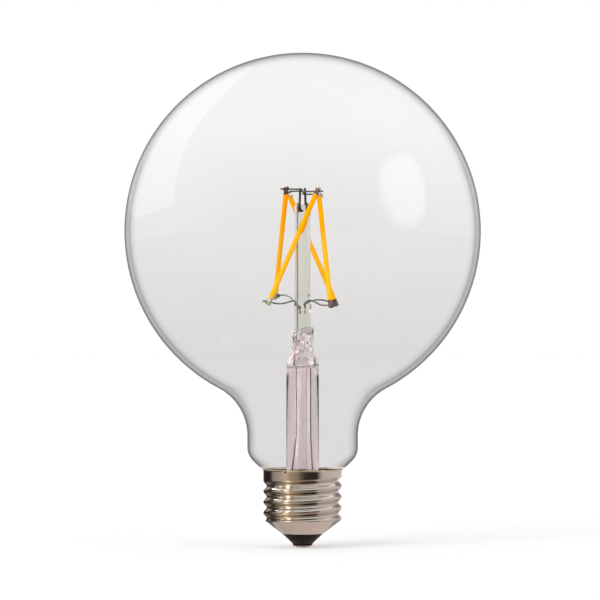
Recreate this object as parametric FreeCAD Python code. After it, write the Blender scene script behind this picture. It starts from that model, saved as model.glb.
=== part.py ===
import FreeCAD, Part
import math
import os
from FreeCAD import Vector

# A clear globe lamp with four filament rods and a screw cap, in millimetres.
# Z is the lamp's axis, the cap's contact is at the bottom on the origin, and the front is -Y.

# Glass envelope
overall_height = 166.5
globe_diameter = 120.0
envelope_wall = 0.7
neck_radius = 18.6
neck_fillet = 18.0
shoulder_height = 33.6
shoulder_fillet = 6.0
shoulder_slope = 45.0
tail_radius = 11.0
tail_end_height = 19.6
tail_step_drop = 0.9
cone_seat_gap = 0.3

# Screw cap: a rolled nickel-plated shell with a knuckle thread
cap_height = 26.3
cap_radius = 13.2
cap_wall = 0.3
rim_flare = 0.4
rim_flare_height = 0.6
thread_pitch = 3.629
thread_depth = 1.09
thread_arc_radius = 1.025
groove_start_height = 8.88
groove_start_angle = 90.0
groove_turns = 4.1
groove_runout_turns = 0.3
skirt_height = 1.7
cone_top_height = 9.4
cone_end_height = 4.65
cone_end_radius = 6.9

# Insulator, contact and solder at the bottom of the cap
insulator_tip_radius = 3.5
insulator_tip_height = 1.45
insulator_lip_height = 0.65
insulator_top_height = 7.2
contact_radius = 3.0
contact_bottom = 0.45
contact_thickness = 0.5
eyelet_radius = 0.95
eyelet_bore = 0.5
eyelet_height = 3.4
solder_radius = 2.95
side_solder_radius = 0.5
side_solder_lift = 0.1
side_angle = -116.0
rim_notch_width = 0.8
rim_notch_depth = 1.2

# Cement ring between the glass and the cap
cement_bottom = 21.2
cement_top = 25.1

# Glass stem: flared tube with a flattened press, exhaust tube and support rod
stem_radius = 5.5
stem_wall = 0.9
flare_fillet = 4.5
stem_shoulder_height = 61.4
press_height = 12.2
press_half_width = 3.7
press_half_depth = 4.5
press_waist = 0.35
crown_tilt = 1.0
exhaust_radius = 1.55
exhaust_wall = 0.4
exhaust_tip_height = 17.4
exhaust_seat_depth = 1.5
rod_radius = 2.7
rod_margin = 10.7
rod_top_rounding = 0.9
rod_socket_depth = 1.5

# Filament rods
filament_count = 4
filament_length = 43.1
tab_length = 2.55
coating_diameter = 1.65
strip_width = 0.9
strip_thickness = 0.35
tab_width = 1.5
tab_thickness = 0.8
filament_top_radius = 7.6
filament_foot_radii = (18.2, 15.0, 15.0, 15.0)
filament_twists = (-104.0, -96.0, -96.0, -96.0)
first_filament_angle = 225.0
filament_top_drops = (-0.1, 0.0, 0.8, 0.3)
tab_trim = 0.1
tab_overlap_share = 0.45
weld_share = 0.4

# Wires
lead_diameter = 0.5
seal_diameter = 0.4
support_diameter = 0.55
post_diameter = 0.75
post_offset = 1.1
post_lean = 0.3
post_rise = 5.6
post_root_depth = 2.6
wire_overhang = 1.6
bend_radius = 1.5
hairpin_radius = 0.5
lead_spread_left = 2.1
lead_spread_right = 2.75
lead_depth = 0.8
lead_foot_left = 4.8
lead_foot_right = 4.1
lead_foot_depth = 1.5
lead_splay_height = 38.0
lead_splay_radius = 20.0
lead_top_radius = 0.8
rod_lead_offset = 1.75
rod_lead_gap = 0.12
seal_lift = 1.2
seal_length = 6.8
anchor_rise = 9.4
anchor_root_drop = 2.6
anchor_root_offset = 0.6
anchor_fork = 0.7
anchor_sag = 1.0
anchor_seal_length = 1.8
weld_sides_top = (1, -1, -1, 1)
weld_sides_foot = (1, 1, -1, -1)

# Driver inside the cap
board_thickness = 1.0
board_height = 12.6
rectifier_size = (4.7, 3.9, 2.5)
rectifier_place = (5.2, 5.5)
chip_size = (4.9, 3.9, 1.5)
chip_place = (-4.6, 5.2)
capacitor_diameter = 4.5
capacitor_length = 8.0
capacitor_offset = 5.2
fuse_diameter = 1.9
fuse_length = 3.6
live_wire_diameter = 0.6
side_wire_diameter = 0.4
side_wire_room = 0.1

# Clearances
seat_gap = 0.03
weld_gap = 0.04
tab_weld_gap = 0.14
board_gap = 0.3

globe_radius = globe_diameter / 2
globe_centre = overall_height - globe_radius
slope = math.radians(shoulder_slope)
rim_radius = cap_radius + rim_flare
skirt_bore = cap_radius - cap_wall
bore_radius = skirt_bore - thread_depth
cone_tangent = (cap_radius - cone_end_radius) / (cone_top_height - cone_end_height)
cone_wall = cap_wall * math.sqrt(1 + cone_tangent ** 2)
tail_bore = tail_radius - envelope_wall
coating_length = filament_length - 2 * tab_length
tab_overlap = tab_length * tab_overlap_share
press_top_height = stem_shoulder_height + press_height
socket_height = press_top_height - rod_socket_depth
anchor_height = press_top_height + anchor_rise
rod_top_height = anchor_height + filament_length - rod_margin
post_top_height = rod_top_height + post_rise
post_root_height = rod_top_height - post_root_depth
anchor_root_height = anchor_height - anchor_root_drop
seal_bottom_height = stem_shoulder_height + seal_lift
seal_top_height = seal_bottom_height + seal_length
board_top = board_height + board_thickness
lead_bore = lead_diameter + 2 * seat_gap


def at(radius, angle, height):
    turn = math.radians(angle)
    return Vector(radius * math.cos(turn), radius * math.sin(turn), height)


def edge(start, end):
    return Part.LineSegment(start, end).toShape()


def arc(start, middle, end):
    return Part.Arc(start, middle, end).toShape()


# Straight runs through the points, joined by tangent arcs.
def rounded_path(points, radius):
    edges = []
    start = points[0]
    for before, corner, after in zip(points, points[1:], points[2:]):
        back = (before - corner).normalize()
        ahead = (after - corner).normalize()
        opening = back.getAngle(ahead)
        if math.pi - opening < 0.01:
            continue
        half_turn = (math.pi - opening) / 2
        room = 0.45 * min((before - corner).Length, (after - corner).Length)
        bend = min(radius, room / math.tan(half_turn))
        cut = bend * math.tan(half_turn)
        middle = (back + ahead).normalize()
        reach = bend / math.cos(half_turn) - bend
        first = corner + back * cut
        last = corner + ahead * cut
        if (first - start).Length > 1e-6:
            edges.append(edge(start, first))
        edges.append(arc(first, corner + middle * reach, last))
        start = last
    edges.append(edge(start, points[-1]))
    return Part.Wire(edges)


def wire(points, diameter, radius=bend_radius):
    path = rounded_path(points, radius)
    along = (points[1] - points[0]).normalize()
    section = Part.Wire([Part.Circle(points[0], along, diameter / 2).toShape()])
    return path.makePipeShell([section], True, True)


# A solid turned about Z from a closed outline of (radius, height) points.
def turned(points):
    corners = [Vector(r, 0, z) for r, z in points]
    outline = Part.makePolygon(corners + [corners[0]])
    return Part.Face(outline).revolve(Vector(), Vector(0, 0, 1), 360)


def turned_wire(outline):
    return Part.Face(outline).revolve(Vector(), Vector(0, 0, 1), 360)


def save(name, shape):
    shape.exportStep(os.path.join("parts", name + ".step"))


# Envelope

# Half section of the glass from the globe's top to the tail's end, moved inwards by the inset.
def envelope_outline(inset):
    ball = globe_radius - inset
    hollow = neck_fillet + inset
    fillet_r = neck_radius + neck_fillet
    fillet_z = globe_centre - math.sqrt((globe_radius + neck_fillet) ** 2 - fillet_r ** 2)
    centre = Vector(0, 0, globe_centre)
    waist = Vector(fillet_r, 0, fillet_z)
    join = centre + (waist - centre).normalize() * ball
    top = Vector(0, 0, globe_centre + ball)
    side = Vector(ball, 0, globe_centre)
    neck_top = waist - Vector(hollow, 0, 0)
    bisector = ((join - waist).normalize() + Vector(-1, 0, 0)).normalize()
    curve = shoulder_fillet - inset
    pivot = Vector(neck_radius - shoulder_fillet, 0, shoulder_height)
    shoulder_top = pivot + Vector(curve, 0, 0)
    shoulder_mid = pivot + Vector(math.cos(slope / 2), 0, -math.sin(slope / 2)) * curve
    shoulder_end = pivot + Vector(math.cos(slope), 0, -math.sin(slope)) * curve
    cone_foot = cap_height + cone_seat_gap + inset * 0.4
    cone_end = shoulder_end - Vector(1 / math.tan(slope), 0, 1) * (shoulder_end.z - cone_foot)
    step = Vector(tail_radius - inset, 0, cone_foot - tail_step_drop)
    tail = Vector(tail_radius - inset, 0, tail_end_height)
    edges = [
        arc(top, centre + Vector(ball, 0, ball) * math.sqrt(0.5), side),
        arc(side, centre + (join - centre + side - centre).normalize() * ball, join),
        arc(join, waist + bisector * hollow, neck_top),
        edge(neck_top, shoulder_top),
        arc(shoulder_top, shoulder_mid, shoulder_end),
        edge(shoulder_end, cone_end),
        edge(cone_end, step),
        edge(step, tail),
    ]
    return edges


def glass_envelope():
    outer = envelope_outline(0)
    inner = envelope_outline(envelope_wall)
    top_edge = edge(inner[0].firstVertex().Point, outer[0].firstVertex().Point)
    end_edge = edge(outer[-1].lastVertex().Point, inner[-1].lastVertex().Point)
    outline = Part.Wire(Part.__sortEdges__(outer + [end_edge] + inner + [top_edge]))
    return turned_wire(outline)


# Screw cap

# Section of the groove between two knuckle crests: a hollow arc between two round shoulders.
def thread_section(place):
    land = 0.05
    half = thread_pitch / 2
    shoulder = 0.5
    land_drop = thread_arc_radius - math.sqrt(thread_arc_radius ** 2 - land ** 2)
    shoulder_drop = thread_arc_radius - math.sqrt(thread_arc_radius ** 2 - shoulder ** 2)
    outward = Vector(place.x, place.y, 0).normalize()
    crest = place + outward * thread_depth

    def point(drop, rise):
        return crest - outward * drop + Vector(0, 0, rise)

    low = point(land_drop, land - half)
    low_flank = point(thread_depth / 2, -half / 2)
    high_flank = point(thread_depth / 2, half / 2)
    high = point(land_drop, half - land)
    return Part.Wire([
        arc(low, point(shoulder_drop, shoulder - half), low_flank),
        arc(low_flank, point(thread_depth, 0), high_flank),
        arc(high_flank, point(shoulder_drop, half - shoulder), high),
        edge(high, point(-0.2, half - land)),
        edge(point(-0.2, half - land), point(-0.2, land - half)),
        edge(point(-0.2, land - half), low),
    ])


# The groove follows a right-hand helix that swings clear of the cap at both ends.
def thread_groove():
    steps = round(groove_turns * 10)
    points = []
    for step in range(steps + 1):
        turns = groove_turns * step / steps
        left = min(turns, groove_turns - turns)
        fade = max(0.0, 1 - left / groove_runout_turns)
        radius = cap_radius - thread_depth + (thread_depth + 0.1) * fade ** 2
        height = groove_start_height + thread_pitch * turns
        points.append(at(radius, groove_start_angle + 360 * turns, height))
    curve = Part.BSplineCurve()
    curve.interpolate(points)
    sweep = Part.BRepOffsetAPI.MakePipeShell(Part.Wire([curve.toShape()]))
    sweep.setBiNormalMode(Vector(0, 0, 1))
    sweep.add(thread_section(points[0]))
    sweep.build()
    sweep.makeSolid()
    return sweep.shape()


# A small gap in the rim that lets the side wire out to its solder.
def rim_notch():
    reach = rim_radius - bore_radius + 1
    notch = Part.makeBox(reach, rim_notch_width, rim_notch_depth + 1)
    notch.translate(Vector(bore_radius, -rim_notch_width / 2, cap_height - rim_notch_depth))
    notch.rotate(Vector(), Vector(0, 0, 1), side_angle)
    return notch


# The drawn shell before its thread is rolled: cone, skirt and flared rim.
def cap_blank():
    flare_foot = cap_height - rim_flare_height
    skirt_foot = cap_height - skirt_height
    cone_mouth = cone_end_radius - cone_wall
    return turned([
        (cone_mouth, cone_end_height),
        (cone_end_radius, cone_end_height),
        (cap_radius, cone_top_height),
        (cap_radius, flare_foot),
        (rim_radius, cap_height),
        (rim_radius - cap_wall, cap_height),
        (skirt_bore, flare_foot),
        (skirt_bore, skirt_foot),
        (bore_radius, skirt_foot - thread_depth),
        (bore_radius, cone_end_height + (bore_radius - cone_mouth) / cone_tangent),
    ])


def insulator():
    mouth = cone_end_radius - cone_wall - seat_gap
    rise = insulator_top_height - cone_end_height
    rim = cone_end_height - seat_gap
    body = turned([
        (0, insulator_top_height),
        (0, insulator_lip_height),
        (insulator_tip_radius - 0.3, insulator_lip_height),
        (insulator_tip_radius, insulator_tip_height),
        (cone_end_radius - seat_gap, rim),
        (mouth, rim),
        (mouth, cone_end_height),
        (mouth + rise * cone_tangent, insulator_top_height),
    ])
    plate_top = contact_bottom + contact_thickness + seat_gap
    recess = Part.makeCylinder(contact_radius + seat_gap, plate_top)
    eyelet_hole = Part.makeCylinder(eyelet_radius + seat_gap, insulator_top_height)
    return body.cut(recess).cut(eyelet_hole)


def cap_contact():
    plate_top = contact_bottom + contact_thickness
    return turned([
        (eyelet_bore, contact_bottom),
        (contact_radius, contact_bottom),
        (contact_radius, plate_top),
        (eyelet_radius, plate_top),
        (eyelet_radius, eyelet_height),
        (eyelet_bore, eyelet_height),
    ])


def contact_solder():
    base = contact_bottom - seat_gap
    dome_radius = (solder_radius ** 2 + base ** 2) / (2 * base)
    ball = Part.makeSphere(dome_radius, Vector(0, 0, dome_radius))
    return ball.common(Part.makeCylinder(solder_radius + 1, base))


def side_solder(shell, glass, pin):
    drop = Part.makeSphere(side_solder_radius, at(rim_radius, side_angle, cap_height + side_solder_lift))
    return drop.cut(shell).cut(glass).cut(pin)


def cap_cement(slot):
    skirt_foot = cap_height - skirt_height + seat_gap
    ring = turned([
        (tail_radius + seat_gap, cement_bottom),
        (bore_radius - seat_gap, cement_bottom),
        (bore_radius - seat_gap, skirt_foot - thread_depth),
        (skirt_bore - seat_gap, skirt_foot),
        (skirt_bore - seat_gap, cement_top),
        (tail_radius + seat_gap, cement_top),
    ])
    return ring.cut(slot)


# Glass stem

def oval_ring(height, half_width, half_depth, tilt=0.0):
    points = []
    for step in range(12):
        turn = math.radians(step * 30)
        x = half_width * math.cos(turn)
        points.append(Vector(x, half_depth * math.sin(turn), height + tilt * x / half_width))
    curve = Part.BSplineCurve()
    curve.interpolate(points, PeriodicFlag=True)
    return Part.Wire([curve.toShape()])


# The tube's top, pinched while hot: a waisted block with a tilted crown.
def stem_press():
    rise = press_top_height - stem_shoulder_height
    foot = stem_radius - seat_gap
    rows = (
        (0.0, foot, foot),
        (0.2, foot - 0.7, foot - 0.3),
        (0.40, press_half_width, press_half_depth),
        (0.62, press_half_width - press_waist, press_half_depth - press_waist),
        (0.86, press_half_width, press_half_depth),
        (1.0, press_half_width - 0.5, press_half_depth - 0.5),
    )
    rings = []
    for share, wide, deep in rows:
        tilt = crown_tilt * max(0.0, share - 0.5)
        rings.append(oval_ring(stem_shoulder_height + rise * share, wide, deep, tilt))
    return Part.makeLoft(rings, True, False)


def stem_flare():
    rim = tail_bore - seat_gap
    inner = stem_radius - stem_wall
    curl = min(flare_fillet, rim - stem_radius - 0.5)
    centre = Vector(stem_radius + curl, 0, tail_end_height + stem_wall + curl)

    def curl_point(radius, angle):
        turn = math.radians(angle)
        return centre + Vector(math.cos(turn), 0, math.sin(turn)) * radius

    low = curl + stem_wall
    outline = Part.Wire([
        edge(Vector(stem_radius, 0, stem_shoulder_height), curl_point(curl, 180)),
        arc(curl_point(curl, 180), curl_point(curl, 225), curl_point(curl, 270)),
        edge(curl_point(curl, 270), Vector(rim, 0, tail_end_height + stem_wall)),
        edge(Vector(rim, 0, tail_end_height + stem_wall), Vector(rim, 0, tail_end_height)),
        edge(Vector(rim, 0, tail_end_height), curl_point(low, 270)),
        arc(curl_point(low, 270), curl_point(low, 225), curl_point(low, 180)),
        edge(curl_point(low, 180), Vector(inner, 0, stem_shoulder_height)),
        edge(Vector(inner, 0, stem_shoulder_height), Vector(stem_radius, 0, stem_shoulder_height)),
    ])
    tube = Part.Face(outline).revolve(Vector(), Vector(0, 0, 1), 360)
    socket = Part.makeCylinder(rod_radius + seat_gap, rod_socket_depth + 2, Vector(0, 0, socket_height))
    seat = Part.makeCylinder(exhaust_radius + seat_gap, 2 * exhaust_seat_depth)
    seat.translate(Vector(0, 0, stem_shoulder_height - exhaust_seat_depth))
    stem = tube.fuse(stem_press()).cut(socket).cut(seat)
    for side in (-1, 1):
        above = lead_exit(side) + Vector(0, 0, rod_socket_depth + crown_tilt + 1)
        stem = stem.cut(wire([lead_knee(side), lead_entry(side), lead_exit(side), above], lead_bore))
    return stem


def exhaust_tube():
    top = stem_shoulder_height + exhaust_seat_depth - seat_gap
    ball = exhaust_tip_height + exhaust_radius
    bore = exhaust_radius - exhaust_wall
    outer = Part.makeCylinder(exhaust_radius, top - ball, Vector(0, 0, ball))
    outer = outer.fuse(Part.makeSphere(exhaust_radius, Vector(0, 0, ball)))
    return outer.cut(Part.makeCylinder(bore, top - ball, Vector(0, 0, ball)))


def support_rod():
    foot = socket_height + seat_gap
    body = Part.makeCylinder(rod_radius, rod_top_height - foot, Vector(0, 0, foot))
    rims = [e for e in body.Edges if e.BoundBox.ZMin > rod_top_height - 0.1 and len(e.Vertexes) == 1]
    body = body.makeFillet(rod_top_rounding, rims)
    for side in (-1, 1):
        body = body.cut(top_post(side, 2 * seat_gap))
        body = body.cut(anchor_stub(side, 2 * seat_gap))
        body = body.cut(anchor_seal(side, 2 * seat_gap))
    return body


# Filaments

def filament_ends(index):
    top_angle = first_filament_angle + index * 360.0 / filament_count
    top = at(filament_top_radius, top_angle, post_top_height - filament_top_drops[index])
    foot = at(filament_foot_radii[index], top_angle + filament_twists[index], 0)
    spread = Vector(foot.x - top.x, foot.y - top.y, 0).Length
    drop = math.sqrt(filament_length ** 2 - spread ** 2)
    return top, Vector(foot.x, foot.y, top.z - drop)


# Unit vectors along the rod, across its flat side and through its thickness.
def filament_axes(index):
    top, foot = filament_ends(index)
    along = (foot - top).normalize()
    through = along.cross(Vector(top.x, top.y, 0)).normalize()
    return along, through.cross(along).normalize(), through


# A rectangular bar that begins at start and runs along the first axis.
def bar(start, axes, length, width, thickness):
    along, across, through = axes
    corner = start - across * (width / 2) - through * (thickness / 2)
    side = across * width
    rise = through * thickness
    face = Part.Face(Part.makePolygon([corner, corner + side, corner + side + rise, corner + rise, corner]))
    return face.extrude(along * length)


def filament_strip(index):
    top, foot = filament_ends(index)
    axes = filament_axes(index)
    length = filament_length - 2 * tab_overlap
    return bar(top + axes[0] * tab_overlap, axes, length, strip_width, strip_thickness)


def filament_coating(index):
    top, foot = filament_ends(index)
    axes = filament_axes(index)
    rod = Part.makeCylinder(coating_diameter / 2, coating_length, top + axes[0] * tab_length, axes[0])
    return rod.cut(bar(top, axes, filament_length, strip_width + 2 * seat_gap, strip_thickness + 2 * seat_gap))


def filament_tab(index, at_top):
    top, foot = filament_ends(index)
    along, across, through = filament_axes(index)
    start = top if at_top else foot
    axes = (along if at_top else along * -1, across, through)
    tab = bar(start, axes, tab_length - tab_trim, tab_width, tab_thickness)
    slot_start = start + axes[0] * (tab_overlap - seat_gap)
    slot = bar(slot_start, axes, tab_length, strip_width + 2 * seat_gap, strip_thickness + 2 * seat_gap)
    return tab.cut(slot)


# Wires that carry the filaments

# Where a support wire's axis passes beside a tab.
def weld_point(index, at_top):
    top, foot = filament_ends(index)
    along, across, through = filament_axes(index)
    end = top if at_top else foot
    inward = along if at_top else along * -1
    side = weld_sides_top[index] if at_top else weld_sides_foot[index]
    normal = along.cross(Vector(end.x, end.y, 0)).normalize()
    half = abs(normal.dot(across)) * tab_width / 2 + abs(normal.dot(through)) * tab_thickness / 2
    return end + inward * (tab_length * weld_share) + normal * side * (half + support_diameter / 2 + tab_weld_gap)


def beyond(start, passing, extra):
    return passing + (passing - start).normalize() * extra


# A stiff wire that stands in the rod's top and leans a little towards the axis.
def top_post(side, extra=0.0):
    root = Vector(side * post_offset, 0, post_root_height)
    lean = Vector(-side * post_lean, 0, post_top_height - post_root_height)
    return Part.makeCylinder((post_diameter + extra) / 2, lean.Length, root, lean)


def post_axis_x(side, height):
    share = (height - post_root_height) / (post_top_height - post_root_height)
    return side * (post_offset - post_lean * share)


# A wire that hugs its post, with one arm to the front filament and one to the rear.
def top_crossbar(side):
    front, rear = (0, 3) if side < 0 else (1, 2)
    near = post_diameter / 2 + support_diameter / 2 + weld_gap
    front_weld = weld_point(front, True)
    rear_weld = weld_point(rear, True)
    x = post_axis_x(side, front_weld.z) - side * near
    front_elbow = Vector(x, -near, front_weld.z)
    rear_elbow = Vector(x, near, rear_weld.z)
    return wire([
        beyond(front_elbow, front_weld, wire_overhang),
        front_elbow,
        rear_elbow,
        beyond(rear_elbow, rear_weld, wire_overhang),
    ], support_diameter, hairpin_radius)


def anchor_elbow_x(side):
    return side * (rod_radius + support_diameter)


def anchor_stub(side, extra=0.0):
    root = Vector(side * anchor_root_offset, 0, anchor_root_height)
    run = Vector(anchor_elbow_x(side), 0, anchor_height) - root
    return Part.makeCylinder((support_diameter + extra) / 2, run.Length, root, run)


def anchor_seal(side, extra=0.0):
    x = side * anchor_root_offset
    top = anchor_root_height - support_diameter / 2 - weld_gap + extra
    foot = Vector(x, 0, anchor_root_height - anchor_seal_length - extra)
    return Part.makeCylinder(seal_diameter / 2 + extra / 2, top - foot.z, foot)


# A wire fused into the rod, whose two arms spread to the feet of two filaments.
def bottom_anchor(side):
    front, rear = (1, 0) if side < 0 else (2, 3)
    x = anchor_elbow_x(side)
    front_elbow = Vector(x, -anchor_fork, anchor_height)
    rear_elbow = Vector(x, anchor_fork, anchor_height)
    front_weld = weld_point(front, False)
    rear_weld = weld_point(rear, False)
    front_sag = (front_elbow + front_weld) * 0.5 - Vector(0, 0, anchor_sag)
    rear_arch = (rear_elbow + rear_weld) * 0.5 + Vector(0, 0, anchor_sag)
    arms = wire([
        beyond(front_sag, front_weld, wire_overhang),
        front_sag,
        front_elbow,
        rear_elbow,
        rear_arch,
        beyond(rear_arch, rear_weld, wire_overhang),
    ], support_diameter)
    return arms.fuse(anchor_stub(side))


# Leads, one on the left front (side -1) and one on the right rear (side 1)

def lead_foot(side):
    x = -lead_foot_left if side < 0 else lead_foot_right
    return Vector(x, side * lead_foot_depth, board_top + weld_gap)


# A point on the straight run of a lead inside the tube.
def lead_run(side, height):
    x = -lead_spread_left if side < 0 else lead_spread_right
    return Vector(x, side * lead_depth, height)


def lead_knee(side):
    return lead_run(side, seal_bottom_height - 2 * seal_lift)


def lead_entry(side):
    return lead_run(side, seal_bottom_height)


def lead_exit(side):
    reach = rod_radius + lead_diameter / 2 + rod_lead_gap
    depth = math.sqrt(reach ** 2 - rod_lead_offset ** 2)
    return Vector(side * rod_lead_offset, side * depth, socket_height)


def seal_line(side, height):
    entry = lead_entry(side)
    rise = lead_exit(side) - entry
    return entry + rise * ((height - entry.z) / rise.z)


def lead_outer(side):
    return wire([lead_foot(side), lead_run(side, lead_splay_height), lead_entry(side)], lead_diameter,
                lead_splay_radius)


def lead_seal(side):
    start = seal_line(side, seal_bottom_height + seat_gap)
    finish = seal_line(side, seal_top_height)
    return Part.makeCylinder(seal_diameter / 2, (finish - start).Length, start, finish - start)


def lead_inner(side):
    clear = (post_diameter + lead_diameter) / 2 + weld_gap
    exit_point = lead_exit(side)
    over = rod_top_height + lead_diameter / 2 + 0.2
    return wire([
        seal_line(side, seal_top_height + seat_gap),
        exit_point,
        Vector(exit_point.x, exit_point.y, over),
        Vector(side * post_offset, side * clear, over + 0.3),
    ], lead_diameter, lead_top_radius)


# Driver inside the cap

# The side wire's route from the board, up beside the glass and out through the rim's notch.
def side_wire_tool(width):
    radius = (tail_radius + bore_radius) / 2
    return wire([
        at(bore_radius - 1.6, side_angle, board_top + weld_gap),
        at(bore_radius - 1.6, side_angle, board_top + 1.5),
        at(radius, side_angle, tail_end_height - 1.5),
        at(radius, side_angle, cement_top - 0.2),
        at(rim_radius + 0.15, side_angle, cap_height - 0.5),
    ], width, 0.6)


def cement_slot():
    width = side_wire_diameter + 2 * side_wire_room
    slot = Part.makeBox(skirt_bore - tail_radius + 1, width, cement_top - cement_bottom + 2)
    slot.translate(Vector(tail_radius, -width / 2, cement_bottom - 1))
    slot.rotate(Vector(), Vector(0, 0, 1), side_angle)
    return slot


def driver_board():
    board = Part.makeCylinder(bore_radius - board_gap, board_thickness, Vector(0, 0, board_height))
    return board.cut(Part.makeCylinder(live_wire_diameter / 2 + seat_gap, 2 * board_height))


# A moulded package with feet along two sides, standing on the board.
def chip(size, place):
    lift = 0.15
    wide, deep, tall = size
    body = Part.makeBox(wide - 1.0, deep, tall - lift)
    body.translate(Vector(place[0] - (wide - 1.0) / 2, place[1] - deep / 2, board_top + lift))
    for side in (-1, 1):
        for row in (-1, 1):
            foot = Part.makeBox(0.9, 0.5, 0.3)
            x = place[0] + side * (wide / 2 - 0.45) - 0.45
            foot.translate(Vector(x, place[1] + row * deep / 4 - 0.25, board_top + seat_gap))
            body = body.fuse(foot)
    return body


def smoothing_capacitor():
    radius = capacitor_diameter / 2
    start = Vector(-capacitor_length / 2, capacitor_offset, board_height - radius - seat_gap)
    return Part.makeCylinder(radius, capacitor_length, start, Vector(1, 0, 0))


def fuse_resistor():
    radius = fuse_diameter / 2
    top = board_height - seat_gap
    body = Part.makeCylinder(radius, fuse_length, Vector(0, 0, top - fuse_length))
    return body.fuse(Part.makeCylinder(live_wire_diameter / 2, board_thickness + 0.4, Vector(0, 0, top)))


def live_wire():
    foot = contact_bottom + seat_gap
    length = board_height - 2 * seat_gap - fuse_length - foot
    return Part.makeCylinder(live_wire_diameter / 2, length, Vector(0, 0, foot))


os.makedirs("parts", exist_ok=True)

glass = glass_envelope()
blank = cap_blank().cut(rim_notch())
save("glass_envelope", glass)
save("cap_shell", blank.cut(thread_groove()))
save("cap_insulator", insulator())
save("cap_contact", cap_contact())
save("contact_solder", contact_solder())
save("side_solder", side_solder(blank, glass, side_wire_tool(side_wire_diameter + 2 * seat_gap)))
save("cap_cement", cap_cement(cement_slot()))
save("stem_flare", stem_flare())
save("exhaust_tube", exhaust_tube())
save("support_rod", support_rod())
for side, name in ((-1, "left"), (1, "right")):
    save("lead_outer_" + name, lead_outer(side))
    save("lead_seal_" + name, lead_seal(side))
    save("lead_inner_" + name, lead_inner(side))
    save("top_post_" + name, top_post(side))
    save("top_crossbar_" + name, top_crossbar(side))
    save("bottom_anchor_" + name, bottom_anchor(side))
    save("anchor_seal_" + name, anchor_seal(side))
for index in range(filament_count):
    number = str(index + 1)
    save("filament_coating_" + number, filament_coating(index))
    save("filament_strip_" + number, filament_strip(index))
    save("filament_tab_top_" + number, filament_tab(index, True))
    save("filament_tab_foot_" + number, filament_tab(index, False))
save("driver_board", driver_board())
save("bridge_rectifier", chip(rectifier_size, rectifier_place))
save("current_chip", chip(chip_size, chip_place))
save("smoothing_capacitor", smoothing_capacitor())
save("fuse_resistor", fuse_resistor())
save("live_wire", live_wire())
save("side_wire", side_wire_tool(side_wire_diameter))
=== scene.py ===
import bpy, bmesh, math, random
from mathutils import Vector, Matrix, noise


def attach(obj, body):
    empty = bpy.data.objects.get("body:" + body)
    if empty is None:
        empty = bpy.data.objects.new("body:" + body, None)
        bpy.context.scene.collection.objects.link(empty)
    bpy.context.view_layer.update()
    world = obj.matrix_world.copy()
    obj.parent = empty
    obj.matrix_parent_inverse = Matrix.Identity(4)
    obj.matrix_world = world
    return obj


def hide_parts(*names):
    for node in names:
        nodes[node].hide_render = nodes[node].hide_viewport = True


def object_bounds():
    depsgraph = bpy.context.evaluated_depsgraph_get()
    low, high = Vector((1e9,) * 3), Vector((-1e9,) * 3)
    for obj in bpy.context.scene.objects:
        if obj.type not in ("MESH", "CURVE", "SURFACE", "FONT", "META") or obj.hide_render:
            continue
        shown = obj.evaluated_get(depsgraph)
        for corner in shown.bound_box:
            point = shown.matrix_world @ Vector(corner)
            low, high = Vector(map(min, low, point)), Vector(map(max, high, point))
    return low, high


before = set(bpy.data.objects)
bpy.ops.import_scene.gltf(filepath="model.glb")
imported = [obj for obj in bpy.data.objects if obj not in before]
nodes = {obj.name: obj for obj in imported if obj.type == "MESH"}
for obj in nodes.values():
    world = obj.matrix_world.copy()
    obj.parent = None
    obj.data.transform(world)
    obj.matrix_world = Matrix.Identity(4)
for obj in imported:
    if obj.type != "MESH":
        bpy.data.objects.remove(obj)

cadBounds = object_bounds()
scene = bpy.context.scene
mm = 0.001
mergeReach = 1e-6   # vertices closer than this, in metres, are one


def finishMesh(name, bm, standsFor=(), smooth=True):
    # the mesh becomes a piece of its own, and the solids that it stands for are hidden
    mesh = bpy.data.meshes.new(name)
    bm.to_mesh(mesh)
    bm.free()
    for polygon in mesh.polygons:
        polygon.use_smooth = smooth
    piece = bpy.data.objects.new(name, mesh)
    scene.collection.objects.link(piece)
    if standsFor:
        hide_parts(*standsFor)
        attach(piece, "root")
    return piece


def profileEdges(bm, points):
    # a chain of vertices in the XZ plane, from (radius, height) in mm
    verts = [bm.verts.new((r * mm, 0.0, z * mm)) for r, z in points]
    edges = [bm.edges.new(pair) for pair in zip(verts, verts[1:])]
    return verts, edges


def spinProfile(bm, points, steps):
    verts, edges = profileEdges(bm, points)
    bmesh.ops.spin(bm, geom=verts + edges, cent=(0, 0, 0), axis=(0, 0, 1), angle=math.tau,
                   steps=steps, use_merge=True, use_normal_flip=False, use_duplicate=False, dvec=(0, 0, 0))
    bmesh.ops.remove_doubles(bm, verts=bm.verts, dist=mergeReach)


def arcPoints(cx, cz, radius, startDeg, endDeg, count):
    # points along an arc in the profile plane, both ends included
    points = []
    for i in range(count + 1):
        angle = math.radians(startDeg + (endDeg - startDeg) * i / count)
        points.append((cx + radius * math.cos(angle), cz + radius * math.sin(angle)))
    return points


def smoothStep(x):
    x = min(max(x, 0.0), 1.0)
    return x * x * (3 - 2 * x)


def feedSocket(tree, socket, value):
    # what feeds a node is another one's result or a plain value; each function below adds a node, and most
    # of them give its result
    if isinstance(value, bpy.types.NodeSocket):
        tree.links.new(value, socket)
    elif value is not None:
        socket.default_value = value


def mathNode(tree, operation, first, second=None, clamp=False):
    node = tree.nodes.new("ShaderNodeMath")
    node.operation = operation
    node.use_clamp = clamp
    feedSocket(tree, node.inputs[0], first)
    feedSocket(tree, node.inputs[1], second)
    return node.outputs["Value"]


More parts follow.
